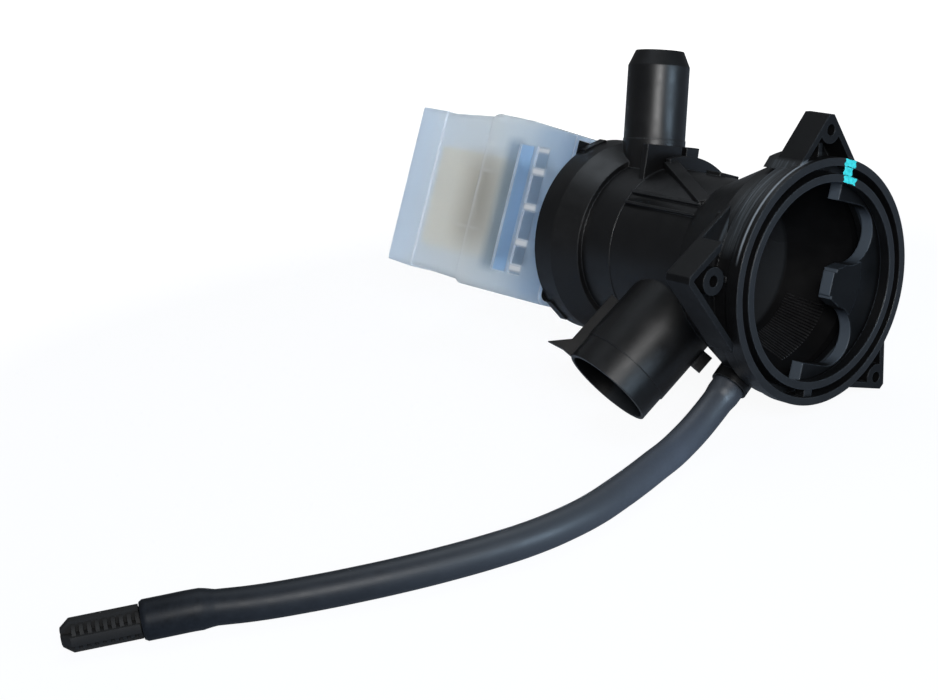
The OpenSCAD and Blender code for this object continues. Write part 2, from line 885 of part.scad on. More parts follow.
// The two flat tabs, grown by a gap on every side
module tab_places(gap) {
    y = core_y + core_len + terminal_len / 2;
    for (z = [-tab_pitch / 2, tab_pitch / 2])
        block([terminal_x + tab_inset - gap, y - tab_t / 2 - gap, z - tab_w / 2 - gap],
            [terminal_end + tab_reach, y + tab_t / 2 + gap, z + tab_w / 2 + gap]);
}

module terminal_tabs() {
    color("#c9b26a") motor_turned() tab_places(0);
}

// Short leads from the windings into the terminal block
module coil_leads() {
    color("#b5652b")
    motor_turned()
    for (z = [-lead_z, lead_z])
        translate([bobbin_end - bobbin_wall - lead_lap, core_y + core_len + coil_out + lead_r, z])
            rotate([0, 90, 0])
                cylinder(r = lead_r, h = terminal_x - bobbin_end + bobbin_wall + lead_lap);
}

// Outline of the cover, drawn in by an inset, with round edges
module cover_outline(inset) {
    r = cover_edge_r - inset * 0.5;
    low = [-cover_left + inset, -cover_bottom + inset];
    high = [cover_right - inset, cover_top - inset];
    translate([low[0] + r, low[1]]) square([high[0] - low[0] - 2 * r, high[1] - low[1]]);
    translate([low[0], low[1] + r]) square([high[0] - low[0], high[1] - low[1] - 2 * r]);
    for (x = [low[0] + r, high[0] - r])
        for (y = [low[1] + r, high[1] - r])
            translate([x, y]) circle(r);
}

// Side view of the cover, drawn in by an inset: it is tallest at the step
module cover_side(inset) {
    rim_y = cover_end - rear_rim_len;
    top = cover_top - inset;
    low = inset - cover_bottom;
    translate([-cover_left - over, 0, 0])
        rotate([90, 0, 90])
            linear_extrude(cover_left + cover_right + 2 * over)
                polygon([[cover_y - over, top - front_drop], [cover_crease_y, top - crease_drop],
                    [cover_step_y, top], [cover_step_y, top - cover_step], [rim_y, top - rear_drop],
                    [rim_y, top - rear_drop + rear_rim_t], [cover_end + over, top - rear_drop + rear_rim_t],
                    [cover_end + over, low + rear_lift], [rim_y, low + rear_lift - rear_rim_t],
                    [rim_y, low + rear_lift], [cover_step_y, low + cover_step], [cover_step_y, low],
                    [cover_y - over, low]]);
}

module motor_cover() {
    color("#dfe7ee", 0.6)
    motor_turned()
    difference() {
        intersection() {
            union() {
                slab(cover_y, cover_step_y) cover_outline(0);
                slab(cover_step_y, cover_end) cover_outline(cover_step);
                slab(cover_end - rear_rim_len, cover_end) cover_outline(cover_step - rear_rim_t);
            }
            cover_side(0);
        }
        intersection() {
            union() {
                slab(cover_y - over, cover_step_y - cover_wall) cover_outline(cover_wall);
                slab(cover_y, cover_end - cover_wall) cover_outline(cover_step + cover_wall);
            }
            cover_side(cover_wall);
        }
        block([-cover_left - over, slot_y, slot_mid - slot_h / 2],
            [-cover_left + cover_wall - slot_skin, slot_y + slot_w, slot_mid + slot_h / 2]);
        cover_pockets();
        block([leg_reach, core_y + core_len + port_gap, -terminal_h / 2 - port_gap],
            [cover_right + over, core_y + core_len + terminal_len + port_gap, terminal_h / 2 + port_gap]);
    }
}

// Shallow pockets beside the slot, with rungs left standing between them
module cover_pockets() {
    difference() {
        block([-cover_left - over, rung_y, slot_mid - slot_h / 2],
            [-cover_left + pocket_depth, rung_y + rung_w, slot_mid + slot_h / 2]);
        for (z = rung_places)
            block([-cover_left - 2 * over, rung_y - over, z - rung_h / 2],
                [-cover_left + 2 * pocket_depth, rung_y + rung_w + over, z + rung_h / 2]);
    }
}

// Direction of the hose at ring i, and the two directions across it
function hose_dir(i) = let(d = hose_route[min(i + 1, hose_last)] - hose_route[max(i - 1, 0)]) d / norm(d);
function across(d) = let(c = cross([0, 0, 1], d)) c / norm(c);

// Outer radius of the hose at ring i: both ends are stretched
function ring_r(i) = i < cuff_start_rings || i > hose_last - cuff_end_rings ? cuff_r : hose_r;

// Points of ring i of radius r round the route
function hose_ring(i, r) = let(d = hose_dir(i), a = across(d), b = cross(d, a))
    [for (k = [0 : hose_sides - 1]) let(t = 360 * (k + 0.5) / hose_sides)
        hose_route[i] + r * (cos(t) * a + sin(t) * b)];

// Faces between two rows of points that start at p and q
function band(p, q) = [for (k = [0 : hose_sides - 1]) let(n = (k + 1) % hose_sides)
    each [[p + k, q + n, p + n], [p + k, q + k, q + n]]];

module drain_hose() {
    rings = hose_last + 1;
    outer = [for (i = [0 : hose_last]) each hose_ring(i, ring_r(i))];
    inner = [for (i = [0 : hose_last]) each hose_ring(i, hose_bore_r)];
    start_in = rings * hose_sides;
    faces = [
        for (i = [0 : hose_last - 1]) each band(i * hose_sides, (i + 1) * hose_sides),
        for (i = [0 : hose_last - 1]) each band(start_in + (i + 1) * hose_sides, start_in + i * hose_sides),
        each band(start_in, 0),
        each band(hose_last * hose_sides, start_in + hose_last * hose_sides)];
    color("#2a2b2d") polyhedron(concat(outer, inner), faces);
}

module rotor_shaft() {
    color("#b9bbbd") rod(shaft_r, shaft_y, shaft_end);
}

module rotor_core() {
    color("#e9e6da") ring(shaft_r + seat_gap, rotor_core_r, rotor_y, rotor_end);
}

module rotor_magnet() {
    color("#3a3a3c") ring(rotor_core_r + seat_gap, magnet_r, magnet_y, magnet_y + magnet_len);
}

// Washers between the rotor core and the two bushes
module thrust_washers() {
    color("#d9d3c0")
    for (y = [front_bush_y + bush_len, rotor_end])
        ring(shaft_r + seat_gap, bush_r, y + run_gap, y + washer_space - run_gap);
}

// Sector of a ring, centred on the turn given
module sector(r0, r1, y0, y1, turn, angle) {
    rotate([0, angle / 2 - turn, 0])
        rotate([-90, 0, 0])
            translate([0, 0, y0])
                rotate_extrude(angle = angle) translate([r0, 0]) square([r1 - r0, y1 - y0]);
}

// Dog on the shaft that drives the impeller after some free turn
module drive_dog() {
    color("#8f8d86") {
        ring(shaft_r + seat_gap, dog_hub_r, dog_y, dog_y + dog_len);
        sector(dog_hub_r - join, cup_in_r - move_gap, dog_y, dog_y + dog_len, 90, dog_angle);
    }
}

module impeller_clip() {
    color("#b9bbbd") ring(shaft_r + seat_gap, clip_r, impeller_clip_y, impeller_clip_y + clip_len);
}

module impeller() {
    color("#e4e2da")
    difference() {
        union() {
            rod(hub_r, vane_y, cup_y);
            rod(impeller_r, back_y, cup_y);
            ring(cup_in_r, cup_r, cup_y - join, cup_y + cup_len);
            sector(dog_hub_r + move_gap, cup_in_r + join, cup_y - join, cup_y + cup_len, -90, dog_angle);
            for (i = [0 : vanes - 1])
                rotate([0, 360 * i / vanes, 0])
                    slab(vane_y, back_y + join)
                        polygon([[vane_root, -vane_t / 2], [impeller_r - vane_lead, -vane_t / 2],
                            [impeller_r - join, vane_lead / 2], [impeller_r - join, vane_lead / 2 + vane_t],
                            [impeller_r - vane_lead - 1, vane_t / 2], [vane_root, vane_t / 2]]);
        }
        rod(shaft_r + run_gap, vane_y - over, cup_y + over);
    }
}

// Stopper plug: plain shank in the hose, finned and ribbed grip outside
module hose_plug() {
    end = hose_route[hose_last];
    color("#1d1d1f")
    aimed(end, 2 * end - hose_route[hose_last - 1]) {
        translate([0, 0, -shank_len]) cylinder(r = shank_r, h = shank_len + move_gap + join);
        translate([0, 0, move_gap])
            intersection() {
                union() {
                    for (turn = [0, 90])
                        rotate([0, 0, turn])
                            translate([-grip_r, -fin_t / 2, 0])
                                cube([2 * grip_r, fin_t, grip_len]);
                    for (z = [0 : rib_pitch : grip_len - rib_stop])
                        translate([0, 0, z]) cylinder(r = grip_r - rib_sink, h = rib_pitch / 2);
                }
                union() {
                    cylinder(r = grip_r, h = grip_len - nose_len);
                    translate([0, 0, grip_len - nose_len])
                        cylinder(r1 = grip_r, r2 = grip_r - nose_drop, h = nose_len);
                }
            }
    }
}

filter_housing();
filter_sleeve();
volute_housing();
volute_seal();
motor_flange();
front_cushion();
front_bearing();
rear_cushion();
rear_bearing();
stator_frame();
stator_core();
core_rivets();
upper_bobbin();
lower_bobbin();
upper_winding();
lower_winding();
terminal_block();
terminal_tabs();
coil_leads();
motor_cover();
drain_hose();
rotor_shaft();
rotor_core();
rotor_magnet();
thrust_washers();
drive_dog();
impeller_clip();
impeller();
hose_plug();
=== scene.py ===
"""Washer drain pump: materials, the soft hose and small details round the CAD frame."""
import json
import math

import bmesh
import bpy
from mathutils import Matrix, Vector


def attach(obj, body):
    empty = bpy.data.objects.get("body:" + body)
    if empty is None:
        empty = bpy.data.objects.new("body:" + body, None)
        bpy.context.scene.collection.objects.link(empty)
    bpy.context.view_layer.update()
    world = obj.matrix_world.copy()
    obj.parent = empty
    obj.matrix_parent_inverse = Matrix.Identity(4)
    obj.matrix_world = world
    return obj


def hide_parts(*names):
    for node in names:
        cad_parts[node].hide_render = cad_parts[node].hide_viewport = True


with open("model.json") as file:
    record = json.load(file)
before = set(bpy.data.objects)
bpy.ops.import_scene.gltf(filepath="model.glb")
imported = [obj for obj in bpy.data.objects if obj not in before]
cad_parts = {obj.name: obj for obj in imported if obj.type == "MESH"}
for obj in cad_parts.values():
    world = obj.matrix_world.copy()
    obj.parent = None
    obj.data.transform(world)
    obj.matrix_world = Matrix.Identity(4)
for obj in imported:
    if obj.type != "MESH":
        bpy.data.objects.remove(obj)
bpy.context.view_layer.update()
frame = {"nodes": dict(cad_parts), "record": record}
nodes = frame["nodes"]
scene = bpy.context.scene
MM = 0.001
FLOOR_Z = -0.0502


# Camera at the photograph's viewing angle
def add_camera():
    right = Vector((0.7668, -0.6323, -0.1091))
    up = Vector((0.2942, 0.1953, 0.9354))
    back = Vector((-0.5704, -0.7496, 0.3358))
    eye = Vector((-0.4957, -0.4456, 0.2241))
    data = bpy.data.cameras.new("camera")
    data.sensor_width = 36
    data.lens = 76.76
    data.clip_start = 0.01
    camera = bpy.data.objects.new("camera", data)
    turn = Matrix((right, up, back)).transposed().to_4x4()
    camera.matrix_world = Matrix.Translation(eye) @ turn
    scene.collection.objects.link(camera)
    scene.camera = camera


# Node helpers for the procedural materials
EDGE_BEND = (0.75, 0.985)
INWARD_TURN = (-0.004, -0.001)
GIVES_NUMBER = ("DOT_PRODUCT", "LENGTH", "DISTANCE")


class Shader:
    """A material with its Principled shader and short calls for adding nodes."""

    def __init__(self, name):
        self.material = bpy.data.materials.new(name)
        self.material.use_nodes = True
        self.tree = self.material.node_tree
        self.main = self.tree.nodes["Principled BSDF"]
        self.place = self.node("ShaderNodeTexCoord").outputs["Object"]

    def put(self, value, into):
        """Links an input to another node's output, or sets it to a fixed value."""
        if isinstance(value, bpy.types.NodeSocket):
            self.tree.links.new(value, into)
        else:
            into.default_value = value

    def node(self, kind, inputs=None, **settings):
        """Adds a node with its settings, and its inputs by name or number."""
        made = self.tree.nodes.new(kind)
        for key, value in settings.items():
            setattr(made, key, value)
        for key, value in (inputs or {}).items():
            self.put(value, made.inputs[key])
        return made

    def set(self, **values):
        """Sets or links inputs of the Principled shader."""
        for key, value in values.items():
            self.put(value, self.main.inputs[key.replace("_", " ")])

    def noise(self, scale, detail=3.0, rough=0.55, stretch=None):
        place = self.place
        if stretch:
            place = self.node("ShaderNodeMapping", {"Vector": place, "Scale": stretch}).outputs["Vector"]
        inputs = {"Vector": place, "Scale": scale, "Detail": detail, "Roughness": rough}
        return self.node("ShaderNodeTexNoise", inputs).outputs["Fac"]

    def ramp(self, value, stops):
        made = self.node("ShaderNodeValToRGB", {"Fac": value})
        ramp = made.color_ramp
        while len(ramp.elements) < len(stops):
            ramp.elements.new(0.5)
        for element, (place, colour) in zip(ramp.elements, stops):
            element.position = place
            element.color = (*colour, 1)
        return made.outputs["Color"]

    def span(self, value, low, high, start=0.3, end=0.7):
        """Low at start and high at end, in proportion between them and level beyond."""
        inputs = {"Value": value, "From Min": start, "From Max": end, "To Min": low, "To Max": high}
        return self.node("ShaderNodeMapRange", inputs).outputs["Result"]

    def inside(self, value, low, high, soft):
        """1 between low and high, falling to 0 over a soft margin on both sides."""
        rise = self.span(value, 0.0, 1.0, low - soft, low + soft)
        fall = self.span(value, 1.0, 0.0, high - soft, high + soft)
        return self.times(rise, fall)

    def blend(self, factor, low, high):
        made = self.node("ShaderNodeMix", {"Factor": factor}, data_type="RGBA")
        for value, name in ((low, "A"), (high, "B")):
            into = [s for s in made.inputs if s.name == name and s.type == "RGBA"][0]
            self.put((*value, 1) if isinstance(value, tuple) else value, into)
        return [s for s in made.outputs if s.type == "RGBA"][0]

    def number(self, operation, *values):
        return self.node("ShaderNodeMath", dict(enumerate(values)), operation=operation).outputs["Value"]

    def times(self, first, second):
        return self.number("MULTIPLY", first, second)

    def most(self, first, second):
        return self.number("MAXIMUM", first, second)

    def vector(self, operation, *values):
        made = self.node("ShaderNodeVectorMath", dict(enumerate(values)), operation=operation)
        return made.outputs["Value" if operation in GIVES_NUMBER else "Vector"]

    def flat(self):
        """Normal of the surface as it is."""
        return self.node("ShaderNodeNewGeometry").outputs["Normal"]

    def rounded(self, radius):
        """Normal of the surface with its edges rounded."""
        return self.node("ShaderNodeBevel", {"Radius": radius}, samples=4).outputs["Normal"]

    def edges(self, radius):
        """Rounded normal, and a mask that is 1 along sharp edges."""
        normal = self.rounded(radius)
        bend = self.vector("DOT_PRODUCT", normal, self.flat())
        return normal, self.span(bend, 1.0, 0.0, *EDGE_BEND)

    def along(self, direction):
        """Distance from the origin along a direction, in metres."""
        return self.vector("DOT_PRODUCT", self.place, direction)

    def facing(self, direction):
        """How far the surface faces a direction: 1 squarely, 0 from the side."""
        return self.vector("DOT_PRODUCT", self.flat(), direction)

    def radial(self):
        """Vector from the pump axis to the place."""
        return self.vector("MULTIPLY", self.place, (1, 0, 1))

    def radius(self):
        return self.vector("LENGTH", self.radial())

    def inward(self):
        """1 on surfaces that face the pump axis."""
        turn = self.vector("DOT_PRODUCT", self.flat(), self.radial())
        return self.span(turn, 1.0, 0.0, *INWARD_TURN)

    def from_line(self, point, direction):
        """Distance from a line through a point."""
        away = self.vector("SUBTRACT", self.place, point)
        return self.vector("LENGTH", self.vector("CROSS_PRODUCT", away, direction))

    def bump(self, height, strength, distance, normal=None):
        inputs = {"Height": height, "Strength": strength, "Distance": distance}
        if normal:
            inputs["Normal"] = normal
        self.set(Normal=self.node("ShaderNodeBump", inputs).outputs["Normal"])


# Noise scales of the finishes, and the depths of their bumps in metres
CLOUDS = 70
SCUFFS = 420
PATCHES = 160
GRAIN = 2600
GRAIN_STRENGTH = 0.12
NATURAL_CLOUDS = 90
DRAWN_LINES = 600
RUBBER_BLOOM = 45
RUBBER_PATCHES = 130
RUBBER_GRAIN = 1900
HOSE_BLOOM = 160
MILK_CLOUDS = 40
MILK_PATCHES = 120
MILK_GRAIN = 900
LAYER_PATCHES = 300
BRUSH_MARKS = 700
STREAK_LINES = 1300
STREAK_STRETCH = (0.04, 1, 0.04)
FINE_BUMP = 0.0001
BUMP = 0.0002
DEEP_BUMP = 0.0003

# Directions of the motor, which is turned about the pump axis, and of the pump
MOTOR_TURN = math.radians(26)
MOTOR_SIDE = (math.cos(MOTOR_TURN), 0.0, -math.sin(MOTOR_TURN))
MOTOR_UP = (math.sin(MOTOR_TURN), 0.0, math.cos(MOTOR_TURN))
DEPTH = (0.0, 1.0, 0.0)
FRONT = (0.0, -1.0, 0.0)
RIGHT = (1.0, 0.0, 0.0)

# Where the cover's tones change: from and to, in metres or as a share of facing
COVER_DEPTHS = (0.11, 0.206)
COVER_LEFT = (-0.0255, -0.0245)
# Depths over which the painted highlight along sharp edges fades out
EDGE_HIGHLIGHT_DEPTHS = (0.155, 0.163)
REAR_WALL = (0.199, 0.201)
REAR_FACING = (0.6, 0.9)
LINING = (-0.02, -0.01)
COVER_TONES = [(0.0, (0.36, 0.5, 0.68)), (0.12, (0.52, 0.65, 0.8)), (0.27, (0.8, 0.88, 0.95)),
               (0.5, (0.92, 0.95, 0.96)), (0.8, (0.94, 0.96, 0.96)), (1.0, (0.89, 0.955, 1.0))]

# Marks on the cover in metres: low, high and soft margin, in depth or up the motor
# Painted shade where the stator lies behind the cover
STATOR_SHADE_DEPTHS = (0.150, 0.170, 0.006)
STATOR_SHADE_HEIGHTS = (-0.016, 0.019, 0.006)
# Painted shadow band beside the slot
SHADOW_BAND_DEPTHS = (0.139, 0.1475, 0.0025)
SHADOW_BAND_HEIGHTS = (-0.0235, 0.0275, 0.002)
SLOT_DEPTHS = (0.1325, 0.1409, 0.0003)
SLOT_HEIGHTS = (-0.0235, 0.0265, 0.0003)
POCKET_DEPTHS = (0.1235, 0.1305, 0.0003)
RUNG_DEPTHS = (*POCKET_DEPTHS[:2], 0.0006)
TOP_RUNG = (0.0245, 0.0265, 0.0006)
RUNG_HEIGHTS = (0.017, 0.003, -0.011, -0.021)
RUNG_HALF = 0.0013
RUNG_SOFT = 0.0008
# Painted light lines: the seam and two streaks
SEAM_HIGHLIGHT_DEPTHS = (0.1592, 0.1613, 0.0006)
HIGHLIGHT_STREAKS = ((0.0138, (0.153, 0.162, 0.003)), (-0.0096, (0.153, 0.17, 0.003)))
STREAK_HALF = 0.0004
STREAK_SOFT = 0.0007

# Painted light and shade along the hose, from its far end to its near end in x
HOSE_ENDS = (-0.25, -0.04)
HOSE_PAINTED_LIGHT_TONES = [(0.0, (0.004, 0.005, 0.007)), (0.3, (0.014, 0.017, 0.022)), (0.65, (0.042, 0.049, 0.06)),
              (0.88, (0.066, 0.079, 0.103)), (1.0, (0.03, 0.036, 0.046))]

# How much lighter the clouds of a two-tone moulding are, and how soft its change is in metres
FRONT_LIFT = 1.6
BACK_LIFT = 1.12
CHANGE_SOFT = 0.0002

# Scale of the wave texture at one band in each metre
WAVE_SCALE = 0.314


def moulded(name, dark, light, worn_and_lit, rough=(0.34, 0.46), edge=0.0006, marks=None):
    """Moulded plastic: cloudy colour, fine grain, edges lighter in patches as rubbed wear and painted
    highlight, and further marks.
    """
    s = Shader(name)
    normal, mask = s.edges(edge)
    cloud = s.ramp(s.noise(CLOUDS), [(0.35, dark), (0.7, light)])
    # Lighter edges: partly rubbed wear, partly painted highlight where edges catch the light
    wear_and_highlight = s.times(mask, s.span(s.noise(SCUFFS, 4, 0.7), 0.15, 1.0, 0.35, 0.65))
    colour = s.blend(wear_and_highlight, cloud, worn_and_lit)
    if marks:
        colour = marks(s, colour)
    s.set(Base_Color=colour, Roughness=s.span(s.noise(PATCHES, 5), *rough))
    s.bump(s.noise(GRAIN, 2), GRAIN_STRENGTH, BUMP, normal)
    return s.material


def metal(name, dark, light, rough, stretch=(1, 1, 1)):
    """Metal with fine drawn lines along the stretched direction."""
    s = Shader(name)
    lines = s.noise(DRAWN_LINES, 3, 0.6, stretch)
    s.set(Base_Color=s.ramp(lines, [(0.3, dark), (0.75, light)]),
          Roughness=s.span(lines, *rough), Metallic=1.0)
    s.bump(lines, 0.15, FINE_BUMP)
    return s.material


def rubber(name, dark, light, rough, grain=0.2):
    """Smooth rubber with a faint dusty bloom."""
    s = Shader(name)
    bloom = s.noise(RUBBER_BLOOM, 5, 0.65)
    s.set(Base_Color=s.ramp(bloom, [(0.35, dark), (0.75, light)]),
          Roughness=s.span(s.noise(RUBBER_PATCHES, 4), *rough))
    s.bump(s.noise(RUBBER_GRAIN, 3), grain, BUMP)
    return s.material


def hose_rubber(name):
    """Hose rubber with a dusty bloom in patches, and painted light and shade along its length: paler
    with more sheen near the pump and darker toward the plug.
    """
    s = Shader(name)
    # Painted light and shade: tone and specular level rise from the plug end toward the pump
    near = s.span(s.along(RIGHT), 0.0, 1.0, *HOSE_ENDS)
    bloom = s.noise(HOSE_BLOOM, 6, 0.7)
    tone = s.blend(s.span(bloom, 0.0, 0.4), s.ramp(near, HOSE_PAINTED_LIGHT_TONES), (0.028, 0.034, 0.044))
    s.set(Base_Color=tone, Roughness=s.span(bloom, 0.4, 0.54),
          Specular_IOR_Level=s.span(near, 0.14, 0.9, 0.0, 0.8))
    s.bump(s.noise(RUBBER_GRAIN, 3), GRAIN_STRENGTH, BUMP)
    return s.material


def milky(name):
    """Milky translucent moulding that blurs what is behind it. On its left side are a clear window
    at the slot, a painted shadow band, painted shade where the stator lies behind, clear pockets, and
    white rungs, seam and streaks that are painted glints."""
    s = Shader(name)
    normal, mask = s.edges(0.0007)
    depth = s.along(DEPTH)
    height = s.along(MOTOR_UP)
    left = s.span(s.along(MOTOR_SIDE), 1.0, 0.0, *COVER_LEFT)
    tone = s.ramp(s.span(depth, 0.0, 1.0, *COVER_DEPTHS), COVER_TONES)
    tone = s.blend(s.span(s.noise(MILK_CLOUDS, 4), 0.0, 0.3), tone, (0.95, 0.97, 0.99))
    tall = s.inside(height, *SLOT_HEIGHTS)
    stator = s.times(s.inside(depth, *STATOR_SHADE_DEPTHS), s.inside(height, *STATOR_SHADE_HEIGHTS))
    band = s.times(s.inside(depth, *SHADOW_BAND_DEPTHS), s.inside(height, *SHADOW_BAND_HEIGHTS))
    slot = s.times(s.inside(depth, *SLOT_DEPTHS), tall)
    pockets = s.times(s.inside(depth, *POCKET_DEPTHS), tall)
    # Painted shade over the stator and a painted shadow band by the slot, with the slot and pocket
    # windows
    for mark, colour in ((stator, (0.66, 0.66, 0.64)), (band, (0.44, 0.53, 0.62)),
                         (slot, (0.54, 0.75, 1.0)), (pockets, (0.42, 0.53, 0.66))):
        tone = s.blend(s.times(left, mark), tone, colour)
    back = s.times(s.span(s.facing(FRONT), 0.0, 1.0, *REAR_FACING), s.span(depth, 0.0, 1.0, *REAR_WALL))
    lining = s.span(s.times(height, s.facing(MOTOR_UP)), 1.0, 0.0, *LINING)
    tone = s.blend(lining, tone, (0.78, 0.87, 0.95))
    tone = s.blend(back, tone, (0.5, 0.63, 0.8))
    # Painted white glints on the rungs
    rungs = s.inside(height, *TOP_RUNG)
    for place in RUNG_HEIGHTS:
        rungs = s.most(rungs, s.inside(height, place - RUNG_HALF, place + RUNG_HALF, RUNG_SOFT))
    rungs = s.times(rungs, s.inside(depth, *RUNG_DEPTHS))
    # Painted light lines on the seam and streaks
    seams = s.inside(depth, *SEAM_HIGHLIGHT_DEPTHS)
    for place, depths in HIGHLIGHT_STREAKS:
        level = s.inside(height, place - STREAK_HALF, place + STREAK_HALF, STREAK_SOFT)
        seams = s.most(seams, s.times(level, s.inside(depth, *depths)))
    # Painted highlight: rung glints, seam and streak lines, and sharp front edges go white and less
    # clear
    white = s.times(left, s.most(rungs, s.span(seams, 0.0, 0.6, 0.0, 1.0)))
    white = s.most(white, s.times(mask, s.span(depth, 0.9, 0.0, *EDGE_HIGHLIGHT_DEPTHS)))
    s.set(Base_Color=s.blend(white, tone, (0.97, 0.985, 1.0)),
          Transmission_Weight=s.span(white, 0.8, 0.15, 0.0, 1.0),
          Roughness=s.span(s.noise(MILK_PATCHES, 4), 0.58, 0.68), IOR=1.35)
    s.bump(s.noise(MILK_GRAIN, 3), 0.08, DEEP_BUMP, normal)
    return s.material


def two_tone(name, front, back, change):
    """One moulding whose seen flange is dark and whose can, inside the cover, is natural."""
    s = Shader(name)
    share = s.span(s.along(DEPTH), 0.0, 1.0, change - CHANGE_SOFT, change + CHANGE_SOFT)
    dark = s.ramp(s.noise(CLOUDS), [(0.35, front), (0.7, tuple(FRONT_LIFT * c for c in front))])
    pale = s.ramp(s.noise(NATURAL_CLOUDS), [(0.35, back), (0.7, tuple(BACK_LIFT * c for c in back))])
    s.set(Base_Color=s.blend(share, dark, pale), Roughness=s.span(s.noise(PATCHES, 5), 0.36, 0.48))
    s.bump(s.noise(GRAIN, 2), GRAIN_STRENGTH, BUMP, s.rounded(0.0005))
    return s.material


def striped(name, dark, light, pitch, rough):
    """Layers or turns seen edge on, one dark line every pitch along the pump axis."""
    s = Shader(name)
    inputs = {"Vector": s.place, "Scale": WAVE_SCALE / pitch, "Distortion": 0.4}
    wave = s.node("ShaderNodeTexWave", inputs, wave_type="BANDS", bands_direction="Y").outputs["Fac"]
    s.set(Base_Color=s.ramp(wave, [(0.2, dark), (0.7, light)]),
          Roughness=s.span(s.noise(LAYER_PATCHES), *rough))
    s.bump(wave, 0.3, BUMP)
    return s


def paint(name):
    """Brushed-on witness paint with thin patches."""
    s = Shader(name)
    thin = s.noise(BRUSH_MARKS, 4, 0.6)
    s.set(Base_Color=s.ramp(thin, [(0.3, (0.015, 0.5, 0.5)), (0.65, (0.06, 0.85, 0.83))]),
          Roughness=s.span(thin, 0.35, 0.55))
    s.bump(thin, 0.4, DEEP_BUMP)
    return s.material


# Directions round the port, and where its tones change: from and to, in metres or as a share of facing
PORT_SIDE = (-0.545, 0.0, 0.839)
EDGE_SIDE = (-0.9, 0.0, 0.43)
FIN_SIDE = (-0.498, -0.698, 0.515)
OUTSIDE_START = (0.036, 0.040)
EAR_RADII = (0.0443, 0.0448)
EAR_BACK = (0.018, 0.02)
PLATE_EDGE = (0.0362, 0.0366)
BORE_SKIN = (0.0001, 0.0004)
FIN_FACING = (0.97, 0.99)
PLATE_FACING = (0.8, 0.95)
# How far a face turns to the side for the painted highlight on the plate's cut edges
LIT_CUT_FACING = (0.3, 0.8)

# Marks round the port in metres: low, high and soft margin
OUTSIDE_RADII = (0.039, 0.0441, 0.0003)
# Painted sheen streaks and a painted highlight line outside the port
SHEEN_STREAK_DEPTHS = (0.006, 0.014, 0.003)
HIGHLIGHT_LINE_DEPTHS = (0.0019, 0.0026, 0.0003)
CHAMBER_DEPTHS = (0.014, 0.0425, 0.001)
# Painted light that makes the deep end inside paler
DEEP_PAINTED_LIGHT_DEPTHS = (0.0425, 0.08, 0.001)
FIN_PLACE = (-0.0345, -0.0325, 0.0003)
PLATE_DEPTHS = (0.0041, 0.0125, 0.0001)


def port_marks(s, colour):
    """Painted sheen streaks and a painted highlight line outside the port, a dull chamber and painted
    light at the deep end inside, and dull ears, inlet and fin."""
    depth = s.along(DEPTH)
    side = s.span(s.along(PORT_SIDE), 0.0, 1.0, *OUTSIDE_START)
    outside = s.times(side, s.inside(s.radius(), *OUTSIDE_RADII))
    # Painted sheen in streaks on the band outside the port
    lines = s.span(s.noise(STREAK_LINES, 2, 0.5, STREAK_STRETCH), 0.2, 1.0, 0.45, 0.7)
    band = s.times(s.times(outside, s.inside(depth, *SHEEN_STREAK_DEPTHS)), lines)
    colour = s.blend(band, colour, (0.1, 0.118, 0.135))
    # Painted highlight line along the rim
    line = s.times(outside, s.inside(depth, *HIGHLIGHT_LINE_DEPTHS))
    colour = s.blend(line, colour, (0.3, 0.34, 0.38))
    inner = s.inward()
    # Painted light at the deep end inside
    deep = s.times(inner, s.inside(depth, *DEEP_PAINTED_LIGHT_DEPTHS))
    dull = s.times(inner, s.inside(depth, *CHAMBER_DEPTHS))
    fin = s.times(s.span(s.facing(FIN_SIDE), 0.0, 1.0, *FIN_FACING),
                  s.inside(s.along(FIN_SIDE), *FIN_PLACE))
    bore = next(m for m in frame["record"]["mounts"] if m["name"] == "inlet_passage")
    bore_r = bore["dims"]["r_mm"] * MM
    away = s.from_line(bore["pos_m"], bore["axis"])
    inlet = s.span(away, 1.0, 0.0, *(bore_r + skin for skin in BORE_SKIN))
    ears = s.times(s.span(s.radius(), 0.0, 0.8, *EAR_RADII), s.span(depth, 1.0, 0.0, *EAR_BACK))
    dull = s.most(s.most(dull, ears), s.most(fin, inlet))
    s.set(Specular_IOR_Level=s.span(dull, 0.5, 0.15, 0.0, 1.0))
    return s.blend(deep, colour, (0.03, 0.033, 0.037))


def plate_marks(s, colour):
    """Painted highlight on the cut edges and a dull front on the bayonet plate behind the port's bore.
    """
    plate = s.times(s.inside(s.along(DEPTH), *PLATE_DEPTHS), s.span(s.radius(), 1.0, 0.0, *PLATE_EDGE))
    front = s.times(plate, s.span(s.facing(FRONT), 0.0, 1.0, *PLATE_FACING))
    s.set(Specular_IOR_Level=s.span(front, 0.5, 0.12, 0.0, 1.0))
    # Painted highlight on the plate's cut edges
    cut = s.times(plate, s.span(s.facing(EDGE_SIDE), 0.0, 1.0, *LIT_CUT_FACING))
    return s.blend(cut, colour, (0.085, 0.105, 0.13))


# The finishes, with the black that both halves of the housing share and the depth where the flange ends
# The third black tone is the lighter edge colour, rubbed wear and painted highlight
BLACK_TONES = ((0.0035, 0.0035, 0.0038), (0.006, 0.006, 0.0064), (0.05, 0.055, 0.06))
FLANGE_END = 0.1127
BLACK = moulded("black_moulding", *BLACK_TONES)
HOUSING = moulded("housing_moulding", *BLACK_TONES, marks=port_marks)
